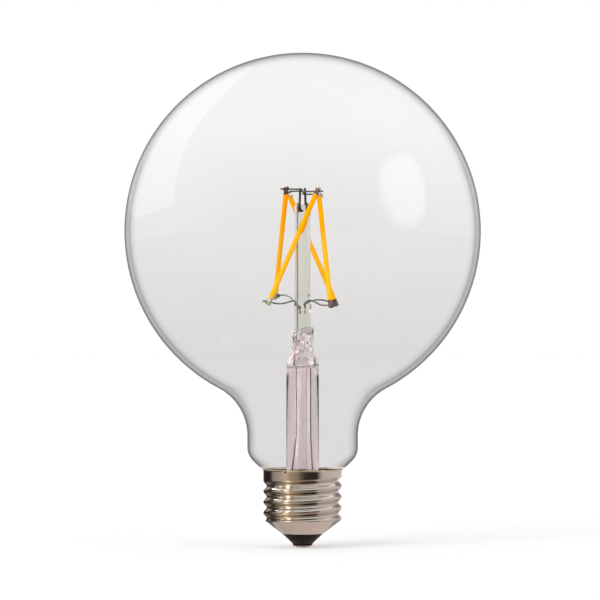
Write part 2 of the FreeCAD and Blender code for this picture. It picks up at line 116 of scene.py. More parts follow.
def vectorNode(tree, operation, first, second=None, scale=None):
    node = tree.nodes.new("ShaderNodeVectorMath")
    node.operation = operation
    feedSocket(tree, node.inputs[0], first)
    feedSocket(tree, node.inputs[1], second)
    if operation == "SCALE":
        feedSocket(tree, node.inputs["Scale"], scale)
    return node.outputs["Value" if operation == "LENGTH" else "Vector"]


def rangeNode(tree, value, low, high, toLow=None, toHigh=None):
    node = tree.nodes.new("ShaderNodeMapRange")
    for key, setting in (("Value", value), ("From Min", low), ("From Max", high), ("To Min", toLow),
                         ("To Max", toHigh)):
        feedSocket(tree, node.inputs[key], setting)
    return node.outputs["Result"]


def mixNode(tree, share, first, second):
    node = tree.nodes.new("ShaderNodeMix")
    node.data_type = "RGBA"
    for key, setting in (("Factor", share), ("A", first), ("B", second)):
        feedSocket(tree, node.inputs[key], setting)
    return node.outputs["Result"]


def noiseNode(tree, place, scale, detail):
    node = tree.nodes.new("ShaderNodeTexNoise")
    for key, setting in (("Vector", place), ("Scale", scale), ("Detail", detail)):
        feedSocket(tree, node.inputs[key], setting)
    return node.outputs["Fac"]


def rampNode(tree, value, stops):
    # stops are positions from 0 to 1, each with its colour
    node = tree.nodes.new("ShaderNodeValToRGB")
    elements = node.color_ramp.elements
    while len(elements) < len(stops):
        elements.new(0.5)
    for element, (position, colour) in zip(elements, stops):
        element.position = position
        element.color = (*colour, 1)
    tree.links.new(value, node.inputs["Fac"])
    return node.outputs["Color"]


def placeNode(tree, kind="Object"):
    # X, Y and Z of the place on the surface
    split = tree.nodes.new("ShaderNodeSeparateXYZ")
    tree.links.new(tree.nodes.new("ShaderNodeTexCoord").outputs[kind], split.inputs["Vector"])
    return split.outputs


def blendShaders(mat, share, first, second):
    tree = mat.node_tree
    mixed = tree.nodes.new("ShaderNodeMixShader")
    for socket, source in zip(mixed.inputs, (share, first, second)):
        tree.links.new(source, socket)
    tree.links.new(mixed.outputs["Shader"], tree.nodes["Material Output"].inputs["Surface"])


def newMaterial(name):
    mat = bpy.data.materials.new(name)
    mat.use_nodes = True
    return mat, mat.node_tree, mat.node_tree.nodes["Principled BSDF"]


# the parts of each noise's range that are spread over the change of tone and of gloss
toneNoise = dict(patchDetail=4.0, patchRange=(0.35, 0.65), grainDetail=2.0, grainRange=(0.3, 0.7))


def buildToneGroup(t):
    # shared by the finishes: small changes of tone, gloss and relief over a surface
    group = bpy.data.node_groups.new("surfaceTone", "ShaderNodeTree")
    for name, kind, default in (("Main Colour", "NodeSocketColor", (0.5, 0.5, 0.5, 1)),
                                ("Second Colour", "NodeSocketColor", (0.4, 0.4, 0.4, 1)),
                                ("Patch Scale", "NodeSocketFloat", 300.0),
                                ("Grain Scale", "NodeSocketFloat", 3000.0),
                                ("Upright Stretch", "NodeSocketFloat", 1.0),
                                ("Second Amount", "NodeSocketFloat", 0.5),
                                ("Roughness Low", "NodeSocketFloat", 0.3),
                                ("Roughness High", "NodeSocketFloat", 0.5)):
        socket = group.interface.new_socket(name=name, in_out="INPUT", socket_type=kind)
        socket.default_value = default
    for name, kind in (("Colour", "NodeSocketColor"), ("Roughness", "NodeSocketFloat"),
                       ("Height", "NodeSocketFloat")):
        group.interface.new_socket(name=name, in_out="OUTPUT", socket_type=kind)
    given = group.nodes.new("NodeGroupInput").outputs
    results = group.nodes.new("NodeGroupOutput").inputs
    coords = group.nodes.new("ShaderNodeTexCoord")
    stretch = group.nodes.new("ShaderNodeCombineXYZ")
    for key, setting in (("X", 1.0), ("Y", 1.0), ("Z", given["Upright Stretch"])):
        feedSocket(group, stretch.inputs[key], setting)
    scaled = vectorNode(group, "MULTIPLY", coords.outputs["Object"], stretch.outputs["Vector"])
    patches = noiseNode(group, scaled, given["Patch Scale"], t["patchDetail"])
    grain = noiseNode(group, scaled, given["Grain Scale"], t["grainDetail"])
    spread = rangeNode(group, patches, *t["patchRange"])
    amount = mathNode(group, "MULTIPLY", spread, given["Second Amount"])
    colour = mixNode(group, amount, given["Main Colour"], given["Second Colour"])
    roughness = rangeNode(group, grain, *t["grainRange"], given["Roughness Low"], given["Roughness High"])
    for key, source in (("Colour", colour), ("Roughness", roughness), ("Height", grain)):
        group.links.new(source, results[key])
    return group


toneGroup = buildToneGroup(toneNoise)


def addTone(tree, shader, tones, relief, depth):
    # the tone group feeds the shader's colour and roughness, and through a bump its normal
    tone = tree.nodes.new("ShaderNodeGroup")
    tone.node_tree = toneGroup
    for key, setting in tones.items():
        tone.inputs[key].default_value = setting
    bump = tree.nodes.new("ShaderNodeBump")
    bump.inputs["Strength"].default_value = relief
    bump.inputs["Distance"].default_value = depth * mm
    tree.links.new(tone.outputs["Colour"], shader.inputs["Base Color"])
    tree.links.new(tone.outputs["Roughness"], shader.inputs["Roughness"])
    tree.links.new(tone.outputs["Height"], bump.inputs["Height"])
    tree.links.new(bump.outputs["Normal"], shader.inputs["Normal"])


# what a finish below doesn't state is as in plainFinish
plainFinish = dict(patch=300, grain=4000, amount=0.6, relief=0.2, depth=0.02, metal=0, specular=0.5, coat=0,
                   coatRoughness=0.1)
finishes = {
    "nickelPlate": dict(colour=(0.72, 0.66, 0.60), second=(0.63, 0.56, 0.49), rough=(0.07, 0.13), metal=1,
                        patch=220, grain=5000, relief=0.05, amount=0.5),
    "blackGlass": dict(colour=(0.012, 0.006, 0.005), second=(0.02, 0.011, 0.009), rough=(0.3, 0.45),
                       patch=500, relief=0.15, specular=0.08),
    "brassPlate": dict(colour=(0.90, 0.74, 0.66), second=(0.78, 0.60, 0.50), rough=(0.3, 0.45), metal=1),
    "brassEdge": dict(colour=(0.84, 0.79, 0.60), second=(0.72, 0.66, 0.46), rough=(0.25, 0.4), metal=1),
    "solderTin": dict(colour=(0.90, 0.82, 0.80), second=(0.72, 0.63, 0.60), rough=(0.25, 0.45), metal=1,
                      patch=900, relief=0.4, depth=0.05),
    "capCement": dict(colour=(0.62, 0.55, 0.42), second=(0.5, 0.43, 0.31), rough=(0.8, 0.95), patch=700,
                      relief=0.6, depth=0.1),
    "nickelWire": dict(colour=(0.27, 0.29, 0.25), second=(0.08, 0.085, 0.07), rough=(0.22, 0.42), metal=0.8,
                       patch=700, relief=0.3),
    "postWire": dict(colour=(0.035, 0.038, 0.032), second=(0.12, 0.12, 0.10), rough=(0.25, 0.45), metal=0.6,
                     patch=700, amount=0.4, relief=0.3),
    "crossWire": dict(colour=(0.10, 0.095, 0.085), second=(0.28, 0.27, 0.23), rough=(0.25, 0.45), metal=0.7,
                      patch=900, amount=0.5, relief=0.3),
    "leadWire": dict(colour=(0.46, 0.45, 0.41), second=(0.30, 0.29, 0.25), rough=(0.3, 0.5), metal=0.6,
                     patch=500, relief=0.3),
    "tinnedWire": dict(colour=(0.15, 0.125, 0.13), second=(0.09, 0.07, 0.07), rough=(0.3, 0.5), metal=0.6),
    "copperSeal": dict(colour=(0.62, 0.24, 0.22), second=(0.50, 0.15, 0.14), rough=(0.35, 0.5), patch=900,
                       coat=0.3),
    "phosphor": dict(colour=(1.0, 0.42, 0.0), second=(1.0, 0.38, 0.0), rough=(0.5, 0.65), patch=600, amount=0.5,
                     grain=6000, relief=0.25, depth=0.03, specular=0.0),
    "stripCeramic": dict(colour=(0.80, 0.77, 0.68), second=(0.72, 0.68, 0.58), rough=(0.4, 0.6)),
    "darkTab": dict(colour=(0.10, 0.05, 0.055), second=(0.30, 0.20, 0.17), rough=(0.25, 0.45), metal=0.7,
                    patch=900, amount=0.6, relief=0.3),
    "brightTab": dict(colour=(0.72, 0.66, 0.52), second=(0.20, 0.16, 0.12), rough=(0.2, 0.4), metal=0.7,
                      patch=1100, amount=0.55, relief=0.3),
    "circuitBoard": dict(colour=(0.80, 0.80, 0.74), second=(0.72, 0.73, 0.66), rough=(0.3, 0.42), coat=0.4),
    "mouldedPackage": dict(colour=(0.03, 0.03, 0.03), second=(0.045, 0.045, 0.045), rough=(0.5, 0.65),
                           relief=0.4),
    "capacitorSleeve": dict(colour=(0.02, 0.024, 0.032), second=(0.03, 0.034, 0.042), rough=(0.25, 0.35)),
    "resistorBody": dict(colour=(0.18, 0.25, 0.17), second=(0.14, 0.2, 0.13), rough=(0.4, 0.55)),
}


def opaqueFinish(name, finish):
    mat, tree, shader = newMaterial(name)
    addTone(tree, shader, {
        "Main Colour": (*finish["colour"], 1), "Second Colour": (*finish["second"], 1),
        "Patch Scale": finish["patch"], "Grain Scale": finish["grain"], "Second Amount": finish["amount"],
        "Roughness Low": finish["rough"][0], "Roughness High": finish["rough"][1],
    }, finish["relief"], finish["depth"])
    shader.inputs["Metallic"].default_value = finish["metal"]
    shader.inputs["Specular IOR Level"].default_value = finish["specular"]
    shader.inputs["Coat Weight"].default_value = finish["coat"]
    shader.inputs["Coat Roughness"].default_value = finish["coatRoughness"]
    return mat


opaque = {name: opaqueFinish(name, {**plainFinish, **finish}) for name, finish in finishes.items()}

# glow is painted light: an emission that makes the phosphor brighter than the lamps light it
phosphorShade = dict(footColour=(1.0, 0.50, 0.0), topColour=(1.0, 0.37, 0.0), heights=(84, 116), glow=0.3)


def shadePhosphor(mat, shade):
    # yellower towards the feet, and with a weak glow of its own: painted light that lifts the phosphor above
    # what the lamps give it, standing also for the glow that phosphor has in daylight
    tree = mat.node_tree
    share = rangeNode(tree, placeNode(tree)["Z"], shade["heights"][0] * mm, shade["heights"][1] * mm)
    tone = next(node for node in tree.nodes if node.type == "GROUP")
    tree.links.new(mixNode(tree, share, (*shade["footColour"], 1), (*shade["topColour"], 1)),
                   tone.inputs["Main Colour"])
    shader = tree.nodes["Principled BSDF"]
    # painted light: the phosphor's own colour glows at the strength of glow
    tree.links.new(tone.outputs["Colour"], shader.inputs["Emission Color"])
    shader.inputs["Emission Strength"].default_value = shade["glow"]


shadePhosphor(opaque["phosphor"], phosphorShade)
print("finishes:", len(opaque))

blownGlass = dict(
    # painted shade: tone of the wall by the distance inside the outline, from 0 at the outline to 1 at
    # edgeReach, in mm;
    # the wall is painted darker near its outline in place of the darker surroundings that the glass bends and
    # mirrors there, and on the globe the two faces of the glass draw a painted line each
    globeEdgeShadeStops=((0.00, 0.42), (0.08, 0.57), (0.16, 0.71), (0.24, 0.81), (0.32, 0.77), (0.40, 0.72),
               (0.48, 0.82), (0.57, 0.90), (0.65, 0.94), (0.74, 0.965), (0.83, 0.985), (1.0, 1.0)),
    neckEdgeShadeStops=((0.00, 0.42), (0.11, 0.55), (0.19, 0.70), (0.27, 0.79), (0.35, 0.86), (0.43, 0.905),
               (0.51, 0.94), (0.59, 0.967), (0.67, 0.985), (0.83, 0.998), (1.0, 1.0)),
    edgeReach=4.2,
    # the neck's painted edge shade changes to the globe's over neckHeights, and back again over crownHeights
    neckHeights=(40, 58), crownHeights=(140, 126), rimHeights=(26.7, 27.5),
    # painted shade: tone of one wall at the bottom and the top of the globe, darker low down where the glass
    # would mirror the dim ground
    lowPaintedShade=(0.850, 0.843, 0.836), highPaintedShade=(0.963, 0.963, 0.962), paintedShadeHeights=(64, 143),
    # faint streaks drawn along the glass when it was blown
    streakScale=45.0, streakDetail=3.0, streakRange=(0.3, 0.7), streakTones=(0.992, 1.006), innerTone=0.995,
    roughness=0.02, ior=1.5, sheen=0.045, sheenHeights=(64, 86))


def clearFinish(name, tone):
    # a thin wall that only tints what is behind it
    mat, tree, shader = newMaterial(name)
    tree.nodes.remove(shader)
    clear = tree.nodes.new("ShaderNodeBsdfTransparent")
    clear.inputs["Color"].default_value = (tone, tone, tone, 1)
    tree.links.new(clear.outputs["BSDF"], tree.nodes["Material Output"].inputs["Surface"])
    return mat, clear


def blownGlassFinish(name, glass):
    mat, clear = clearFinish(name, 1.0)
    tree = mat.node_tree
    coords = tree.nodes.new("ShaderNodeTexCoord").outputs["Object"]
    geometry = tree.nodes.new("ShaderNodeNewGeometry")
    path = tree.nodes.new("ShaderNodeLightPath")
    upright = placeNode(tree)["Z"]

    def upOver(heights):
        return rangeNode(tree, upright, heights[0] * mm, heights[1] * mm)

    # distance from the axis, and how far the surface leans from upright
    level = (1, 1, 0)
    radius = vectorNode(tree, "LENGTH", vectorNode(tree, "MULTIPLY", coords, level))
    lean = vectorNode(tree, "LENGTH", vectorNode(tree, "MULTIPLY", geometry.outputs["Normal"], level))
    # distance inside the outline, over which the wall is painted darker towards its outline: half the cross
    # radius times the squared cosine
    facing = tree.nodes.new("ShaderNodeLayerWeight")
    facing.inputs["Blend"].default_value = 0.5
    cosine = mathNode(tree, "SUBTRACT", 1.0, facing.outputs["Facing"])
    inside = mathNode(tree, "MULTIPLY", mathNode(tree, "POWER", cosine, 2.0),
                      mathNode(tree, "DIVIDE", radius, lean))
    reach = mathNode(tree, "MULTIPLY", inside, 0.5 / (glass["edgeReach"] * mm), clamp=True)
    neckEdgeShade, globeEdgeShade = [rampNode(tree, reach, [(at, (value, value, value)) for at, value in stops])
                           for stops in (glass["neckEdgeShadeStops"], glass["globeEdgeShadeStops"])]
    onGlobe = mathNode(tree, "MULTIPLY", upOver(glass["neckHeights"]), upOver(glass["crownHeights"]))
    edge = mixNode(tree, onGlobe, neckEdgeShade, globeEdgeShade)
    # no painted edge shade on the thin fold over the cap's rim, nor for light that the inner glass has bent
    edgeShadeShare = mathNode(tree, "MULTIPLY", upOver(glass["rimHeights"]), path.outputs["Is Camera Ray"])
    edge = mixNode(tree, edgeShadeShare, (1, 1, 1, 1), edge)
    # painted shade by height: the wall is darker low down, for the dim ground that the glass would mirror there
    tone = mixNode(tree, upOver(glass["paintedShadeHeights"]), (*glass["lowPaintedShade"], 1), (*glass["highPaintedShade"], 1))
    streaks = noiseNode(tree, coords, glass["streakScale"], glass["streakDetail"])
    streaks = rangeNode(tree, streaks, *glass["streakRange"], *glass["streakTones"])
    tint = vectorNode(tree, "SCALE", vectorNode(tree, "MULTIPLY", tone, edge), scale=streaks)
    tree.links.new(tint, clear.inputs["Color"])
    # reflection on the outer face only, and less low down, where the glass mirrors only the dim ground
    gloss = tree.nodes.new("ShaderNodeBsdfGlossy")
    gloss.inputs["Roughness"].default_value = glass["roughness"]
    fresnel = tree.nodes.new("ShaderNodeFresnel")
    fresnel.inputs["IOR"].default_value = glass["ior"]
    capped = mathNode(tree, "MINIMUM", fresnel.outputs["Fac"], glass["sheen"])
    front = mathNode(tree, "SUBTRACT", 1.0, geometry.outputs["Backfacing"])
    share = mathNode(tree, "MULTIPLY", mathNode(tree, "MULTIPLY", capped, front), upOver(glass["sheenHeights"]))
    blendShaders(mat, share, clear.outputs["BSDF"], gloss.outputs["BSDF"])
    return mat


# thick glasses: the tint and its darker patches, and the ripple that bends what is behind;
# what a glass doesn't state is as in plainGlass
plainGlass = dict(ior=1.5, roughness=(0.0, 0.02), patch=160, dark=0.95, coat=0.0, coatIor=1.5, shadowTone=0.9)
solidGlasses = {
    "stemGlass": dict(tint=(0.93, 0.86, 0.865), grain=500, stretch=0.04, relief=0.25, depth=0.05),
    "exhaustGlass": dict(tint=(0.99, 0.975, 0.98), grain=500, stretch=0.04, relief=0.2, depth=0.05),
    "rodGlass": dict(tint=(0.87, 0.875, 0.80), grain=700, stretch=0.03, relief=0.6, depth=0.1, patch=900,
                     dark=0.80),
    "bubbleGlass": dict(tint=(0.98, 0.95, 0.95), ior=0.68, grain=900, stretch=1.0, relief=0.1, depth=0.02),
    "pressGlass": dict(tint=(0.93, 0.825, 0.838), ior=1.47, grain=520, stretch=0.6, relief=0.5, depth=0.14,
                       patch=420, dark=0.84, coat=1.0, coatIor=1.9),
}


def solidGlassFinish(name, glass):
    mat, tree, shader = newMaterial(name)
    shader.inputs["Transmission Weight"].default_value = 1.0
    shader.inputs["IOR"].default_value = glass["ior"]
    shader.inputs["Coat Weight"].default_value = glass["coat"]
    shader.inputs["Coat IOR"].default_value = glass["coatIor"]
    addTone(tree, shader, {
        "Main Colour": (*glass["tint"], 1), "Second Colour": (*[c * glass["dark"] for c in glass["tint"]], 1),
        "Patch Scale": glass["patch"], "Grain Scale": glass["grain"], "Upright Stretch": glass["stretch"],
        "Roughness Low": glass["roughness"][0], "Roughness High": glass["roughness"][1],
    }, glass["relief"], glass["depth"])
    # the lamps reach what the glass holds
    clear = tree.nodes.new("ShaderNodeBsdfTransparent")
    clear.inputs["Color"].default_value = (*[glass["shadowTone"]] * 3, 1)
    path = tree.nodes.new("ShaderNodeLightPath")
    blendShaders(mat, path.outputs["Is Shadow Ray"], shader.outputs["BSDF"], clear.outputs["BSDF"])
    return mat


globeOuter = blownGlassFinish("globeOuterFace", blownGlass)
globeInner = clearFinish("globeInnerFace", blownGlass["innerTone"])[0]
solid = {name: solidGlassFinish(name, {**plainGlass, **glass}) for name, glass in solidGlasses.items()}
print("glasses ready")

envelope = dict(globeRadius=59.97, globeHeight=106.5, wall=0.7, neckRadius=18.6, neckFillet=18.0,
                shoulderHeight=33.6, shoulderRadius=6.0, coneEnd=(14.08, 26.6), tailTop=(11.0, 25.7),
                tailEnd=19.6, tailLean=0.4, steps=192, globeRows=96, filletRows=20, neckRows=3, shoulderRows=8)


def envelopeProfile(e, inset):
    # from the pole down to the open end of the tail, moved inwards by inset
    filletX = e["neckRadius"] + e["neckFillet"]
    reach = e["globeRadius"] + e["neckFillet"]
    filletZ = e["globeHeight"] - math.sqrt(reach ** 2 - filletX ** 2)
    joinDeg = math.degrees(math.atan2(filletZ - e["globeHeight"], filletX))
    points = arcPoints(0, e["globeHeight"], e["globeRadius"] - inset, 90, joinDeg, e["globeRows"])
    points += arcPoints(filletX, filletZ, e["neckFillet"] + inset, 180 + joinDeg, 180, e["filletRows"])[1:]
    neckLength = e["shoulderHeight"] - filletZ
    points += [(e["neckRadius"] - inset, filletZ + neckLength * i / e["neckRows"])
               for i in range(1, e["neckRows"])]
    points += arcPoints(e["neckRadius"] - e["shoulderRadius"], e["shoulderHeight"],
                        e["shoulderRadius"] - inset, 0, -45, e["shoulderRows"])
    lean = inset * 0.707   # the shoulder falls at 45 degrees
    points += [(e["coneEnd"][0] - lean, e["coneEnd"][1] + lean),
               (e["tailTop"][0] - inset, e["tailTop"][1] + inset * e["tailLean"]),
               (e["tailTop"][0] - inset, e["tailEnd"])]
    return [(max(r, 0.0), z) for r, z in points]


def makeEnvelope(e):
    bm = bmesh.new()
    spinProfile(bm, envelopeProfile(e, 0.0), e["steps"])
    outerFaces = set(bm.faces)
    spinProfile(bm, envelopeProfile(e, e["wall"]), e["steps"])
    for face in bm.faces:
        face.material_index = 0 if face in outerFaces else 1
    rims = [edge for edge in bm.edges if edge.is_boundary]
    for face in bmesh.ops.bridge_loops(bm, edges=rims)["faces"]:
        face.material_index = 0
    bmesh.ops.recalc_face_normals(bm, faces=bm.faces)
    piece = finishMesh("globeEnvelope", bm, ["glass_envelope"])
    piece.data.materials.append(globeOuter)
    piece.data.materials.append(globeInner)
    print("globe envelope:", len(piece.data.polygons), "faces")


makeEnvelope(envelope)

screwCap = dict(radius=13.2, wall=0.3, pitch=3.629, grooveDepth=1.09, grooveZero=11.6, grooveShape=1.15,
                firstTurn=-0.9, lastTurn=3.35, fade=0.3, top=26.3, flare=0.4, flareHeight=0.4, bareEdge=0.3,
                coneTop=9.4, coneReach=1.2, coneBlend=0.5, coneEnd=4.65, coneEndRadius=6.9,
                rowsPerPitch=28, steps=180)


def threadedRadius(c, z, turn):
    # radius of the rolled shell at a height and a turn of the lamp's axis
    u = (z - c["grooveZero"]) / c["pitch"] - turn
    groove = round(u)
    along = groove + turn
    fadeIn = smoothStep((along - c["firstTurn"]) / c["fade"])
    fadeOut = smoothStep((c["lastTurn"] - along) / c["fade"])
    wave = 0.5 + 0.5 * math.cos(math.tau * (u - groove))
    wave = wave ** c["grooveShape"]
    r = c["radius"] - c["grooveDepth"] * wave * fadeIn * fadeOut
    if z > c["top"] - c["flareHeight"]:
        r += c["flare"] * smoothStep((z - c["top"] + c["flareHeight"]) / c["flareHeight"])
    if z < c["coneTop"] + c["coneReach"]:
        up = (z - c["coneEnd"]) / (c["coneTop"] - c["coneEnd"])
        cone = c["coneEndRadius"] + (c["radius"] - c["coneEndRadius"]) * up
        # rounds the corner between thread and cone
        h = max(c["coneBlend"] - abs(r - cone), 0.0) / c["coneBlend"]
        r = min(r, cone) - h * h * c["coneBlend"] * 0.25
    return r


def makeCap(c):
    # an upright strip, swept up by a pitch in a turn so that its rows follow the thread, then cut level
    bm = bmesh.new()
    step = c["pitch"] / c["rowsPerPitch"]
    low = c["coneEnd"] - c["pitch"] - step
    rows = int((c["top"] + step - low) / step) + 1
    verts, edges = profileEdges(bm, [(c["radius"], low + step * i) for i in range(rows)])
    bmesh.ops.spin(bm, geom=verts + edges, cent=(0, 0, 0), axis=(0, 0, 1), angle=math.tau, steps=c["steps"],
                   use_merge=False, use_normal_flip=False, use_duplicate=False,
                   dvec=(0, 0, c["pitch"] * mm / c["steps"]))
    bmesh.ops.remove_doubles(bm, verts=bm.verts, dist=2 * mergeReach)
    for height, up in ((c["top"], 1), (c["coneEnd"], -1)):
        bmesh.ops.bisect_plane(bm, geom=bm.verts[:] + bm.edges[:] + bm.faces[:], dist=mergeReach,
                               plane_co=(0, 0, height * mm), plane_no=(0, 0, up), clear_outer=True)
    for vert in bm.verts:
        turn = (math.atan2(vert.co.y, vert.co.x) / math.tau) % 1.0
        r = threadedRadius(c, vert.co.z / mm, turn) * mm
        spread = math.hypot(vert.co.x, vert.co.y)
        vert.co.x *= r / spread
        vert.co.y *= r / spread
    bmesh.ops.recalc_face_normals(bm, faces=bm.faces)
    bmesh.ops.solidify(bm, geom=bm.faces[:], thickness=c["wall"] * mm)
    bmesh.ops.recalc_face_normals(bm, faces=bm.faces)
    # the cut edge at the rim shows the brass under the plating
    for face in bm.faces:
        if face.calc_center_median().z > (c["top"] - c["bareEdge"]) * mm:
            face.material_index = 1
    piece = finishMesh("screwShell", bm, ["cap_shell"])
    piece.data.materials.append(opaque["nickelPlate"])
    piece.data.materials.append(opaque["brassEdge"])
    print("screw shell:", len(piece.data.polygons), "faces")


makeCap(screwCap)

stem = dict(radius=5.47, wall=0.9, curl=3.8, rimRadius=10.27, footHeight=19.6, shoulderHeight=61.4,
            steps=120, tubeRows=12, curlRows=10,
            # the inside of the tube's closed end: inset from the outside and drop from the shoulder
            closedEnd=((0.9, 1.2), (1.3, 0.5), (2.4, 0.1)),
            # the press from the shoulder up: height, half width, half depth
            press=((61.4, 5.47, 5.47), (62.6, 5.12, 5.32), (63.5, 4.78, 5.14), (64.5, 4.32, 4.92),
                   (65.4, 3.92, 4.7), (66.3, 3.62, 4.52), (67.3, 3.45, 4.4), (68.3, 3.42, 4.34),
                   (69.4, 3.5, 4.4), (70.5, 3.64, 4.48), (71.5, 3.74, 4.52), (72.5, 3.74, 4.5),
                   (73.2, 3.6, 4.34), (73.65, 3.3, 4.0), (73.9, 2.8, 3.4), (74.0, 1.9, 2.4),
                   (74.05, 0.0, 0.0)), rowGap=0.22, pressFrom=0.05, pressGlassFrom=0.3,
            # the press leans over by tilt at halfWidth from its middle, more and more towards its top
            tilt=0.8, halfWidth=3.6, tiltSlope=1.6, tiltOffset=0.6,
            lumpSize=0.42, lumpScale=430, lumpRadius=2.4, lumpRise=3, fineShare=0.35, fineScale=2.3)


def makeStem(s):
    bm = bmesh.new()
    curlX, curlZ = s["radius"] + s["curl"], s["footHeight"] + s["wall"] + s["curl"]
    # the press in close rows, with the ratio of depth to width in each
    rows = []
    for (z0, wide0, deep0), (z1, wide1, deep1) in zip(s["press"], s["press"][1:]):
        parts = max(1, round((z1 - z0) / s["rowGap"]))
        for i in range(parts):
            share = i / parts
            wide = wide0 + (wide1 - wide0) * share
            rows.append((z0 + (z1 - z0) * share, wide, (deep0 + (deep1 - deep0) * share) / wide))
    outline = [(0.0, s["press"][-1][0])] + [(wide, z) for z, wide, _ in reversed(rows)]
    tubeLength = s["shoulderHeight"] - curlZ
    outline += [(s["radius"], s["shoulderHeight"] - tubeLength * i / s["tubeRows"])
                for i in range(1, s["tubeRows"] + 1)]
    outline += arcPoints(curlX, curlZ, s["curl"], 180, 270, s["curlRows"])[1:]
    outline += [(s["rimRadius"], s["footHeight"] + s["wall"]), (s["rimRadius"], s["footHeight"])]
    outline += arcPoints(curlX, curlZ, s["curl"] + s["wall"], 270, 180, s["curlRows"])
    outline += [(s["radius"] - inset, s["shoulderHeight"] - drop) for inset, drop in s["closedEnd"]]
    outline += [(0.0, s["shoulderHeight"])]
    spinProfile(bm, outline, s["steps"])
    depthOf = {round(z, 3): ratio for z, _, ratio in rows}
    low, high = s["press"][0][0] + s["pressFrom"], s["press"][-1][0]
    for vert in bm.verts:
        z = vert.co.z / mm
        if z < low:
            continue
        share = (z - low) / (high - low)
        vert.co.y *= depthOf.get(round(z, 3), 1.0)
        across = vert.co.x / (s["halfWidth"] * mm)
        swell = noise.noise(vert.co * s["lumpScale"])
        swell += s["fineShare"] * noise.noise(vert.co * s["lumpScale"] * s["fineScale"])
        push = 1 + swell * s["lumpSize"] * min(1.0, share * s["lumpRise"]) / s["lumpRadius"]
        vert.co.x *= push
        vert.co.y *= push
        vert.co.z += s["tilt"] * mm * across * smoothStep(share * s["tiltSlope"] - s["tiltOffset"])
    bmesh.ops.recalc_face_normals(bm, faces=bm.faces)
    for face in bm.faces:
        if face.calc_center_median().z > (s["shoulderHeight"] + s["pressGlassFrom"]) * mm:
            face.material_index = 1
    piece = finishMesh("glassStem", bm, ["stem_flare"])
    piece.data.materials.append(solid["stemGlass"])
    piece.data.materials.append(solid["pressGlass"])


makeStem(stem)

# air caught where the tube was pinched: a ring of bubbles, and flat folds shut in between the walls
bubbles = dict(seed=7, count=13, jitter=0.3, ring=(3.95, 4.4), height=63.8, spread=0.3, sizes=(0.32, 0.48),
               folds=6, foldSizes=(0.6, 1.3), foldShape=(1.0, 0.5, 0.45, 1.0),
               foldPlaces=((-1.9, 1.9), (-3.2, 2.5), (64.5, 72.2)))


def makeBubbles(b):
    bm = bmesh.new()
    draw = random.Random(b["seed"])
    for i in range(b["count"]):
        angle = math.tau * (i + draw.uniform(-b["jitter"], b["jitter"])) / b["count"]
        place = Vector((b["ring"][0] * math.cos(angle), b["ring"][1] * math.sin(angle),
                        b["height"] + draw.uniform(-1, 1) * b["spread"])) * mm
        bmesh.ops.create_icosphere(bm, subdivisions=2, radius=draw.uniform(*b["sizes"]) * mm,
                                   matrix=Matrix.Translation(place))
    for i in range(b["folds"]):
        place = Vector([draw.uniform(*span) for span in b["foldPlaces"]]) * mm
        size = draw.uniform(*b["foldSizes"]) * mm
        turn = Matrix.Rotation(draw.uniform(0, math.pi), 4, "Y") @ Matrix.Diagonal(b["foldShape"])
        bmesh.ops.create_icosphere(bm, subdivisions=3, radius=size, matrix=Matrix.Translation(place) @ turn)
    piece = finishMesh("stemBubbles", bm)
    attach(piece, "root")
    piece.data.materials.append(solid["bubbleGlass"])


makeBubbles(bubbles)

rod = dict(radius=2.7, foot=72.13, top=115.4, round=0.9, steps=64, rows=90, roundRows=6,
           # swellings where the wires go in: height, reach and depth
           lumps=((80.9, 1.7, 0.42), (113.8, 1.2, 0.22)), lumpBase=0.3, lumpScale=700,
           ripple=0.02, rippleScale=900, rippleStretch=0.2)


def makeRod(r):
    bm = bmesh.new()
    shoulder = r["top"] - r["round"]
    length = shoulder - r["foot"]
    outline = [(0, r["top"])]
    outline += arcPoints(r["radius"] - r["round"], shoulder, r["round"], 90, 0, r["roundRows"])
    outline += [(r["radius"], shoulder - length * i / r["rows"]) for i in range(1, r["rows"] + 1)]
    outline += [(0, r["foot"])]
    spinProfile(bm, outline, r["steps"])
    for vert in bm.verts:
        z = vert.co.z / mm
        swell = 0.0
        for height, reach, depth in r["lumps"]:
            near = math.exp(-((z - height) / reach) ** 2)
            swell += near * depth * (r["lumpBase"] + noise.noise(vert.co * r["lumpScale"]))
        drawn = Vector((vert.co.x, vert.co.y, vert.co.z * r["rippleStretch"]))
        swell += r["ripple"] * noise.noise(drawn * r["rippleScale"])
        vert.co.x *= 1 + swell / r["radius"]
        vert.co.y *= 1 + swell / r["radius"]
    bmesh.ops.recalc_face_normals(bm, faces=bm.faces)
    piece = finishMesh("glassRod", bm, ["support_rod"])
    piece.data.materials.append(solid["rodGlass"])


makeRod(rod)
print("stem and rod ready")


def sweepTube(bm, points, radii, sides=20):
    # a round wire along points, with a radius for each
    rings = []
    up = Vector((0.0, 0.0, 1.0))
    for i, point in enumerate(points):
        before, after = points[max(i - 1, 0)], points[min(i + 1, len(points) - 1)]
        along = (after - before).normalized()
        if i == 0:
            side = along.cross(up if abs(along.z) < 0.9 else Vector((0.0, 1.0, 0.0))).normalized()
        else:
            side = (side - along * side.dot(along)).normalized()
        other = along.cross(side)
        rings.append([bm.verts.new((point + (side * math.cos(a) + other * math.sin(a)) * radii[i]) * mm)
                      for a in (math.tau * k / sides for k in range(sides))])
    for first, second in zip(rings, rings[1:]):
        for k in range(sides):
            bm.faces.new((first[k], first[(k + 1) % sides], second[(k + 1) % sides], second[k]))
    bm.faces.new(reversed(rings[0]))
    bm.faces.new(rings[-1])


